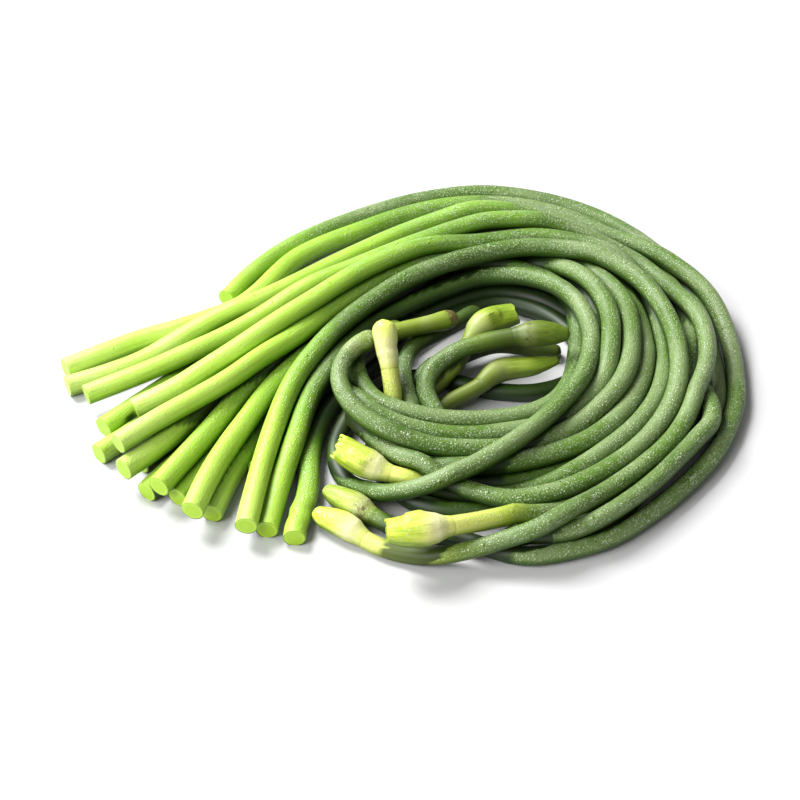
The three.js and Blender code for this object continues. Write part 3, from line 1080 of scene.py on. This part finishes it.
class Effects:
    """Shader groups that more than one finish uses, each built once.

    Attributes:
        DROP_SIZES: Least and greatest radius of a droplet, as a share of its cell.
        DROP_SHAPE: Power that gives a droplet its rounded flank, under 1 for a steep one.
        DROP_GLINTS: Painted glint of the dullest and of the brightest droplet.
        DROP_CORE: Heights of a droplet between which its painted glint comes in.
        DRAWN: Factor on each axis that draws the fibres out.
        FIBRES: Scales of the fine and of the coarse fibres, to a metre.
    """

    DROP_SIZES: Span = (0.26, 0.50)
    DROP_SHAPE: float = 0.6
    DROP_GLINTS: Span = (0.4, 1.0)
    DROP_CORE: Span = (0.2, 0.65)
    DRAWN: Triple = (0.03, 1.0, 1.0)
    FIBRES: Span = (1500.0, 420.0)
    _made: dict[str, ShaderNodeTree] = {}

    @classmethod
    def group(cls, name: str, inputs: Sequence[tuple[str, str]], outputs: Sequence[str],
              fill: Callable[[Nodes, Node, Node], None]) -> ShaderNodeTree:
        """A node group, made on first use.

        Args:
            name: Its name.
            inputs: Name and socket type of each input.
            outputs: Name of each output, a value.
            fill: Adds its nodes between its input and output nodes.

        Returns:
            The group.
        """
        if name not in cls._made:
            tree = bpy.data.node_groups.new(name, "ShaderNodeTree")
            for label, kind in inputs:
                tree.interface.new_socket(label, in_out="INPUT", socket_type=kind)
            for label in outputs:
                tree.interface.new_socket(label, in_out="OUTPUT", socket_type="NodeSocketFloat")
            nodes = Nodes(tree)
            fill(nodes, nodes.add("NodeGroupInput"), nodes.add("NodeGroupOutput"))
            cls._made[name] = tree
        return cls._made[name]

    @classmethod
    def mist(cls) -> ShaderNodeTree:
        """Fine water droplets: a painted glint in their middles, brighter on some than others, and
        how high they stand.

        Returns:
            The group.
        """
        inputs = [("Vector", "NodeSocketVector"), ("Scale", "NodeSocketFloat"),
                  ("Density", "NodeSocketFloat")]
        return cls.group("mist", inputs, ["Shine", "Height"], cls.fill_mist)

    @classmethod
    def fill_mist(cls, nodes: Nodes, start: Node, end: Node) -> None:
        """One round droplet in some of the cells of a lattice.

        Args:
            nodes: The group's nodes.
            start: Its inputs.
            end: Its outputs.
        """
        cells = nodes.over(start.outputs["Vector"], "ShaderNodeTexVoronoi", feature="F1")
        nodes.join(start.outputs["Scale"], cells.inputs["Scale"])
        channels = nodes.add("ShaderNodeSeparateColor")
        nodes.join(cells.outputs["Color"], channels.inputs["Color"])
        there = nodes.maths("LESS_THAN", channels.outputs["Red"], start.outputs["Density"])
        size = nodes.ranged(channels.outputs["Green"], 0.0, 1.0, *cls.DROP_SIZES)
        near = nodes.maths("DIVIDE", cells.outputs["Distance"], size)
        dome = nodes.maths("SUBTRACT", 1.0, nodes.times(near, near), clamp=True)
        height = nodes.times(nodes.maths("POWER", dome, cls.DROP_SHAPE), there)
        # Painted glint: a pale middle on each droplet, brighter on some, in place of the light it
        # would catch.
        glow = nodes.ranged(channels.outputs["Blue"], 0.0, 1.0, *cls.DROP_GLINTS)
        core = nodes.ranged(height, *cls.DROP_CORE)
        nodes.join(nodes.times(core, glow), end.inputs["Shine"])
        nodes.join(height, end.inputs["Height"])

    @classmethod
    def streaks(cls) -> ShaderNodeTree:
        """Fine fibres along a stem, as a value about 0.5."""
        return cls.group("streaks", [("Vector", "NodeSocketVector")], ["Value"], cls.fill_streaks)

    @classmethod
    def fill_streaks(cls, nodes: Nodes, start: Node, end: Node) -> None:
        """Noise drawn out along +X, in a fine and a coarse size.

        Args:
            nodes: The group's nodes.
            start: Its inputs.
            end: Its outputs.
        """
        drawn = nodes.stretched(start.outputs["Vector"], cls.DRAWN)
        fine, coarse = (nodes.times(nodes.noise(drawn, scale, 2.0), 0.5) for scale in cls.FIBRES)
        nodes.join(nodes.maths("ADD", fine, coarse), end.inputs["Value"])


def fresh_material(name: str) -> tuple[Material, Nodes, Node]:
    """Adds a new material.

    Args:
        name: Its name.

    Returns:
        The material, a helper for its nodes, and its Principled shader.
    """
    material = bpy.data.materials.new(name)
    material.use_nodes = True
    nodes = Nodes(material.node_tree)
    return material, nodes, material.node_tree.nodes["Principled BSDF"]


@dataclass(frozen=True)
class Finish:
    """What all finishes of the scapes have.

    Attributes:
        name: Name of its material.
        relief: Strength and depth of its bumps.
        glow: How much light spreads under it.
        spread: How far red, green and blue light spread, against each other.
        glow_depth: How far they spread.
    """

    name: str
    relief: Span
    glow: float
    spread: Triple
    glow_depth: float

    def material(self) -> Material:
        """The material, made on first use.

        Returns:
            The material.
        """
        found = bpy.data.materials.get(self.name)
        if found:
            return found
        material, nodes, shader = fresh_material(self.name)
        colour, height = self.paint(nodes, nodes.read(STRAIGHT, "Vector"), shader)
        nodes.join(colour, shader.inputs["Base Color"])
        strength, depth = self.relief
        bump = nodes.add("ShaderNodeBump", in_Strength=strength, in_Distance=depth)
        nodes.join(height, bump.inputs["Height"])
        nodes.join(bump.outputs["Normal"], shader.inputs["Normal"])
        shader.inputs["Subsurface Weight"].default_value = self.glow
        shader.inputs["Subsurface Radius"].default_value = self.spread
        shader.inputs["Subsurface Scale"].default_value = self.glow_depth
        return material

    def paint(self, nodes: Nodes, place: NodeSocket, shader: Node) -> tuple[NodeSocket, NodeSocket]:
        """Adds the finish's own pattern.

        Args:
            nodes: The material's nodes.
            place: Place on the straight form.
            shader: Shader whose roughness it sets.

        Returns:
            Its colour, and the height of its surface.
        """
        raise NotImplementedError


@dataclass(frozen=True)
class Droplets:
    """One size of the water droplets on a skin.

    Attributes:
        scale: Cells of their lattice to a metre.
        density: Share of the cells that hold a droplet.
        height: Their height against the others'.
        painted_glint: Their painted glint against the others'.
    """

    scale: float
    density: float
    height: float
    painted_glint: float


@dataclass(frozen=True)
class StalkSkin(Finish):
    """Skin of a stalk: waxy, finely streaked, and wet with mist, with painted shade, a painted
    sheen on the wax and painted glints in the droplets.

    Attributes:
        greens: Colours along the stalk, from the cut to the neck.
        stray: How far a colour strays along that run.
        mottle: Scale to a metre, and detail, of the noise that it strays by.
        fibres: Factors on the colour between the fibres and on them.
        fibre_edge: Values of the fibres' pattern between which they pass from one to the other.
        fibre_height: How high the fibres stand, against the water.
        wax_and_sheen: Colour of the wax, which on open tops also stands in for a painted sheen.
        wax: Most that the wax covers.
        waxed: Tints between which the wax comes in.
        unwaxed: Tints between which it ends.
        wax_patch: Scale, detail, and the values of noise between which a patch of wax comes in.
        wax_drawn: Factor on each axis that draws such a patch out along the stem.
        wax_sheen_open: Openness between which the wax and its painted sheen come in.
        water: Pale colour painted into the middles of droplets, a painted glint.
        painted_glint_share: Most that this painted glint covers.
        sizes: Mist, finer mist and a few full drops.
        wet_patch: Scale, detail, and the values of noise between which the water gets thicker.
        wet_least: Share of the water that is left where it is thinnest.
        wet_open: Openness between which the water comes in.
        pale_wet: Tints between which a pale end passes to the wetter middle.
        pale_share: Share of the water on a pale end.
        neck_dry: Tints between which the middle passes to the drier neck.
        neck_share: Share of the water on the neck.
        gloss: Roughness of dry and of wet skin.
        soaked: Height of the water from which the skin is fully wet.
        painted_shades: Painted shade, a factor on the colour of the skin against how open it lies.
    """

    name: str = "stalk_skin"
    relief: Span = (1.0, 0.30 * MM)
    glow: float = 0.05
    spread: Triple = (0.6, 1.0, 0.2)
    glow_depth: float = 1.0 * MM
    greens: Stops = (
        (0.00, (0.570, 0.740, 0.190)),
        (0.10, (0.450, 0.670, 0.080)),
        (0.22, (0.345, 0.580, 0.036)),
        (0.36, (0.190, 0.380, 0.016)),
        (0.46, (0.082, 0.178, 0.011)),
        (0.54, (0.068, 0.140, 0.011)),
        (0.68, (0.150, 0.240, 0.018)),
        (0.84, (0.380, 0.470, 0.040)),
        (1.00, (0.640, 0.680, 0.150)),
    )
    stray: float = 0.035
    mottle: Span = (55.0, 4.0)
    fibres: Stops = ((0.0, (0.84, 0.88, 0.78)), (1.0, (1.12, 1.08, 1.10)))
    fibre_edge: Span = (0.35, 0.65)
    fibre_height: float = 0.2
    wax_and_sheen: Colour = (0.195, 0.280, 0.098)
    wax: float = 0.8
    waxed: Span = (0.36, 0.49)
    unwaxed: Span = (0.53, 0.68)
    wax_patch: Quad = (110.0, 4.0, 0.36, 0.66)
    wax_drawn: Triple = (0.35, 1.0, 1.0)
    wax_sheen_open: Span = (0.4, 1.0)
    water: Colour = (0.740, 0.840, 0.560)
    painted_glint_share: float = 0.6
    sizes: tuple[Droplets, ...] = (
        Droplets(1250.0, 0.9, height=1.0, painted_glint=1.0),
        Droplets(1800.0, 0.8, height=0.6, painted_glint=0.8),
        Droplets(560.0, 0.12, height=1.5, painted_glint=0.0),
    )
    wet_patch: Quad = (70.0, 2.0, 0.34, 0.56)
    wet_least: float = 0.6
    wet_open: Span = (0.25, 0.8)
    pale_wet: Span = (0.16, 0.42)
    pale_share: float = 0.3
    neck_dry: Span = (0.55, 0.9)
    neck_share: float = 0.5
    gloss: Span = (0.50, 0.10)
    soaked: float = 0.3
    painted_shades: Stops = (
        (0.00, (0.12, 0.16, 0.05)),
        (0.25, (0.40, 0.48, 0.28)),
        (0.75, (1.00, 1.00, 1.00)),
    )

    def paint(self, nodes: Nodes, place: NodeSocket, shader: Node) -> tuple[NodeSocket, NodeSocket]:
        """Adds the wet skin.

        Args:
            nodes: The material's nodes.
            place: Place on the straight form.
            shader: Shader whose roughness it sets.

        Returns:
            Its colour, and the height of its surface.
        """
        colour, streaks = self.skin(nodes, place)
        colour, height = self.wetted(nodes, place, colour, shader)
        return colour, nodes.maths("ADD", height, nodes.times(streaks, self.fibre_height))

    def skin(self, nodes: Nodes, place: NodeSocket) -> tuple[NodeSocket, NodeSocket]:
        """The dry skin, green by the attribute "tint", with its fibres and its wax, which is laid
        only on open skin and so is partly a painted sheen.

        Args:
            nodes: The material's nodes.
            place: Place on the straight form.

        Returns:
            Its colour, and the pattern of the fibres.
        """
        tint = nodes.read(TINT, "Fac")
        strayed = nodes.strayed(tint, nodes.noise(place, *self.mottle), self.stray)
        colour = nodes.ramp(strayed, self.greens)
        fibres = nodes.over(place, "ShaderNodeGroup", node_tree=Effects.streaks())
        streaks = fibres.outputs["Value"]
        lines = nodes.ramp(nodes.ranged(streaks, *self.fibre_edge), self.fibres)
        colour = nodes.mix(1.0, colour, lines, "MULTIPLY")
        patch = nodes.patch(nodes.stretched(place, self.wax_drawn), self.wax_patch, 0.0)
        green = nodes.times(nodes.ranged(tint, *self.waxed),
                            nodes.ranged(tint, *self.unwaxed, 1.0, 0.0))
        # Partly painted sheen: the pale wax comes in only where the skin lies open and faces up.
        clear = nodes.ranged(nodes.read(OPEN_AND_LIT, "Fac"), *self.wax_sheen_open)
        wax_and_sheen_cover = nodes.times(nodes.times(nodes.times(patch, green), self.wax), clear)
        return nodes.mix(wax_and_sheen_cover, colour, self.wax_and_sheen), streaks

    def wetted(self, nodes: Nodes, place: NodeSocket, colour: NodeSocket,
               shader: Node) -> tuple[NodeSocket, NodeSocket]:
        """Lays water on a skin where it lies open, with painted glints in its droplets, and paints
        shade into the colour where the skin lies buried, deep or facing down.

        Args:
            nodes: The material's nodes.
            place: Place on the straight form.
            colour: The dry skin's colour.
            shader: Shader whose roughness the water sets.

        Returns:
            The wet colour, and the height of the water.
        """
        lit_and_open = nodes.read(OPEN_AND_LIT, "Fac")
        tint = nodes.read(TINT, "Fac")
        # Painted shade: the colour is multiplied darker where the skin lies buried, deep in a well
        # or facing down.
        colour = nodes.mix(1.0, colour, nodes.ramp(lit_and_open, self.painted_shades), "MULTIPLY")
        where = nodes.patch(place, self.wet_patch, self.wet_least)
        for limit in (nodes.ranged(lit_and_open, *self.wet_open),
                      nodes.ranged(tint, *self.pale_wet, self.pale_share, 1.0),
                      nodes.ranged(tint, *self.neck_dry, 1.0, self.neck_share)):
            where = nodes.times(where, limit)
        heights: list[NodeSocket] = []
        painted_glints: list[NodeSocket] = []
        for size in self.sizes:
            layer = nodes.over(place, "ShaderNodeGroup", node_tree=Effects.mist(),
                               in_Scale=size.scale, in_Density=size.density)
            heights.append(nodes.times(layer.outputs["Height"], size.height))
            painted_glints.append(nodes.times(layer.outputs["Shine"], size.painted_glint))
        height = nodes.times(nodes.highest(heights), where)
        painted_glint = nodes.times(nodes.highest(painted_glints), where)
        rough = nodes.ranged(height, 0.0, self.soaked, *self.gloss)
        nodes.join(rough, shader.inputs["Roughness"])
        # Painted glints: pale colour mixed into the skin at the droplets' middles.
        return nodes.mix(nodes.times(painted_glint, self.painted_glint_share), colour, self.water), height


@dataclass(frozen=True)
class CutFlesh(Finish):
    """The flat cut end of a stalk: pale wet flesh in a darker rim.

    Attributes:
        rings: Colours from the middle out, against the share of the radius.
        radius: Radius of an ordinary cut end.
        pores: Colours in its pores and between them.
        pored: Share of its colour that they give.
        pore_scale: Pores to a metre.
        pore_edge: Distances from a pore's middle between which its colour changes.
        roughness: Its roughness.
    """

    name: str = "cut_flesh"
    relief: Span = (0.4, 0.08 * MM)
    glow: float = 0.25
    spread: Triple = (0.8, 1.0, 0.3)
    glow_depth: float = 1.5 * MM
    rings: Stops = (
        (0.00, (0.36, 0.58, 0.012)),
        (0.62, (0.31, 0.53, 0.010)),
        (0.86, (0.44, 0.66, 0.045)),
        (1.00, (0.36, 0.58, 0.025)),
    )
    radius: float = 4.1 * MM
    pores: Stops = ((0.0, (0.22, 0.40, 0.01)), (1.0, (0.50, 0.70, 0.04)))
    pored: float = 0.25
    pore_scale: float = 2600.0
    pore_edge: Span = (0.1, 0.5)
    roughness: float = 0.32

    def paint(self, nodes: Nodes, place: NodeSocket, shader: Node) -> tuple[NodeSocket, NodeSocket]:
        """Adds the flesh.

        Args:
            nodes: The material's nodes.
            place: Place on the straight form.
            shader: Shader whose roughness it sets.

        Returns:
            Its colour, and the height of its surface.
        """
        across = nodes.add("ShaderNodeVectorMath", operation="LENGTH")
        nodes.join(nodes.stretched(place, (0.0, 1.0, 1.0)), across.inputs[0])
        share = nodes.maths("DIVIDE", across.outputs["Value"], self.radius)
        cells = nodes.over(place, "ShaderNodeTexVoronoi", feature="F1", in_Scale=self.pore_scale)
        dots = nodes.ranged(cells.outputs["Distance"], *self.pore_edge)
        shader.inputs["Roughness"].default_value = self.roughness
        pores = nodes.ramp(dots, self.pores)
        return nodes.mix(self.pored, nodes.ramp(share, self.rings), pores), dots


@dataclass(frozen=True)
class BudSkin(Finish):
    """Wrapper of a bud: cream where it swells, lime along its ribs, at times spotted brown.

    Attributes:
        stem: Skin of the stalk, which a green bud keeps.
        greens: Colours along a pale bud, from the neck to its end.
        stray: How far a colour strays along that run.
        mottle: Scale to a metre, and detail, of the noise that it strays by.
        lines: Factors on the colour between the ribs' fibres and on them.
        line_edge: Values of the fibres' pattern between which they pass from one to the other.
        line_height: How high those fibres stand, against the water.
        brown: Colour of the spots.
        browned: Most that this colour covers.
        speckle: Scale to a metre, and detail, of the noise that places them.
        spotted: Values of that noise and the stain together between which a spot comes in.
    """

    name: str = "bud_skin"
    relief: Span = (0.7, 0.2 * MM)
    glow: float = 0.15
    spread: Triple = (0.9, 1.0, 0.3)
    glow_depth: float = 1.2 * MM
    stem: StalkSkin = StalkSkin()
    greens: Stops = (
        (0.00, (0.640, 0.710, 0.170)),
        (0.12, (0.720, 0.750, 0.270)),
        (0.27, (0.820, 0.800, 0.400)),
        (0.38, (0.780, 0.790, 0.270)),
        (0.50, (0.640, 0.740, 0.090)),
        (0.80, (0.520, 0.660, 0.030)),
        (1.00, (0.600, 0.710, 0.070)),
    )
    stray: float = 0.05
    mottle: Span = (160.0, 3.0)
    lines: Stops = ((0.0, (0.66, 0.76, 0.45)), (1.0, (1.14, 1.10, 1.2)))
    line_edge: Span = (0.38, 0.62)
    line_height: float = 1.4
    brown: Colour = (0.170, 0.075, 0.050)
    browned: float = 0.8
    speckle: Span = (620.0, 2.0)
    spotted: Span = (1.02, 1.2)

    def paint(self, nodes: Nodes, place: NodeSocket, shader: Node) -> tuple[NodeSocket, NodeSocket]:
        """Adds the wrapper, green where the attribute "pale" is low.

        Args:
            nodes: The material's nodes.
            place: Place on the straight form.
            shader: Shader whose roughness it sets.

        Returns:
            Its colour, and the height of its surface.
        """
        share = nodes.read(SHARE, "Fac")
        strayed = nodes.strayed(share, nodes.noise(place, *self.mottle), self.stray)
        colour = nodes.ramp(strayed, self.greens)
        green, streaks = self.stem.skin(nodes, place)
        ribbed = nodes.read(RIBBED, "Fac")
        lines = nodes.ramp(nodes.ranged(streaks, *self.line_edge), self.lines)
        colour = nodes.mix(ribbed, colour, nodes.mix(1.0, colour, lines, "MULTIPLY"))
        colour = nodes.mix(nodes.read(PALE, "Fac"), green, colour)
        spots = nodes.maths("ADD", nodes.noise(place, *self.speckle), nodes.read(STAIN, "Fac"))
        cover = nodes.ranged(spots, *self.spotted, 0.0, self.browned)
        colour = nodes.mix(cover, colour, self.brown)
        # Painted shade and painted glints come in here, with the water.
        colour, height = self.stem.wetted(nodes, place, colour, shader)
        fibres = nodes.times(streaks, nodes.times(ribbed, self.line_height))
        return colour, nodes.maths("ADD", height, fibres)


@dataclass(frozen=True)
class Lamp:
    """A soft square light that faces the bunch.

    Attributes:
        name: Its name.
        place: Where it stands.
        size: Its side.
        power: Its strength in watts.
    """

    name: str
    place: Triple
    size: float
    power: float

    def build(self) -> None:
        """Adds the light."""
        lamp = bpy.data.lights.new(self.name, "AREA")
        lamp.shape = "SQUARE"
        lamp.size = self.size
        lamp.energy = self.power
        holder = bpy.data.objects.new(self.name, lamp)
        holder.location = self.place
        holder.rotation_euler = (-Vector(self.place)).to_track_quat("-Z", "Y").to_euler()
        bpy.context.scene.collection.objects.link(holder)


@dataclass
class Studio:
    """The pale floor, the soft light and the camera.

    Attributes:
        lamps: The lights.
        surround: Strength of the even light from all round.
        floor_side: Side of the floor.
        floor_drop: How far the floor lies under the bunch, so that the two don't flicker.
        floor_pale: How pale the floor is.
        floor_roughness: Its roughness.
        aim: Point of the surface that the camera looks at.
        elevation: Camera's height above the horizon, in degrees.
        distance: Camera's distance from that point.
        lens: Focal length in millimetres.
        sensor: Width of the sensor in millimetres.
        clip: Nearest and furthest distance that the camera sees.
    """

    lamps: tuple[Lamp, ...] = (
        Lamp("key", (-0.85, 0.80, 1.30), 0.80, 59.0),
        Lamp("fill", (-0.85, -0.60, 0.75), 0.9, 17.0),
    )
    surround: float = 0.25
    floor_side: float = 6.0
    floor_drop: float = 0.02 * MM
    floor_pale: float = 0.60
    floor_roughness: float = 0.7
    aim: Vector = field(default_factory=lambda: Vector((-0.67, -22.09, 0.0)) * MM)
    elevation: float = 42.0
    distance: float = 690 * MM
    lens: float = 80.7
    sensor: float = 36.0
    clip: Span = (0.05, 20.0)

    def build(self) -> None:
        """Makes the whole set."""
        self.lay_floor()
        for lamp in self.lamps:
            lamp.build()
        self.surround_evenly()
        self.place_camera()

    def lay_floor(self) -> None:
        """Lays a plain pale surface under the bunch."""
        bpy.ops.object.select_all(action="DESELECT")
        bpy.ops.mesh.primitive_plane_add(size=self.floor_side, location=(0, 0, -self.floor_drop))
        floor = bpy.context.object
        floor.name = "floor"
        bpy.ops.object.transform_apply(location=True, rotation=True, scale=True)
        material, _, shader = fresh_material("pale_floor")
        shader.inputs["Base Color"].default_value = (*[self.floor_pale] * 3, 1.0)
        shader.inputs["Roughness"].default_value = self.floor_roughness
        floor.data.materials.append(material)

    def surround_evenly(self) -> None:
        """Lights the set evenly and palely from all round."""
        world = bpy.data.worlds.new("surround")
        world.use_nodes = True
        background = world.node_tree.nodes["Background"]
        background.inputs["Color"].default_value = (1.0, 1.0, 1.0, 1.0)
        background.inputs["Strength"].default_value = self.surround
        bpy.context.scene.world = world
        bpy.context.scene.view_settings.view_transform = "Standard"

    def place_camera(self) -> None:
        """Places a camera at the photograph's angle and distance."""
        lens = bpy.data.cameras.new("camera")
        lens.lens = self.lens
        lens.sensor_width = self.sensor
        lens.clip_start, lens.clip_end = self.clip
        camera = bpy.data.objects.new("camera", lens)
        tilt = math.radians(self.elevation)
        back = Vector((0.0, -math.cos(tilt), math.sin(tilt)))
        camera.location = self.aim + back * self.distance
        camera.rotation_euler = (math.pi / 2 - tilt, 0.0, 0.0)
        bpy.context.scene.collection.objects.link(camera)
        bpy.context.scene.camera = camera


def settle(piece: Object, node: str) -> None:
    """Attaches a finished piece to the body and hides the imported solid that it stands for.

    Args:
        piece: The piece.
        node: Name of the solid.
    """
    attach(piece, BODY)
    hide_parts(node)
    LOG.info("%s: %d faces", piece.name, len(piece.data.polygons))


def main() -> None:
    """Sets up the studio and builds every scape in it."""
    logging.basicConfig(level=logging.INFO, format="%(name)s %(message)s")
    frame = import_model()
    Studio().build()
    skin, flesh = StalkSkin(), CutFlesh()
    wrapper = BudSkin(stem=skin)
    lines = [ScapeLine(look).read(frame["nodes"]) for look in SCAPES]
    heap = Heap(lines)
    for line in lines:
        guide = line.guide()
        settle(Stalk(line).build(guide, heap, skin, flesh), line.look.stalk_node)
        settle(Bud(line).build(guide, heap, wrapper), line.look.bud_node)
        bpy.data.objects.remove(guide)


if __name__ == "__main__":
    main()
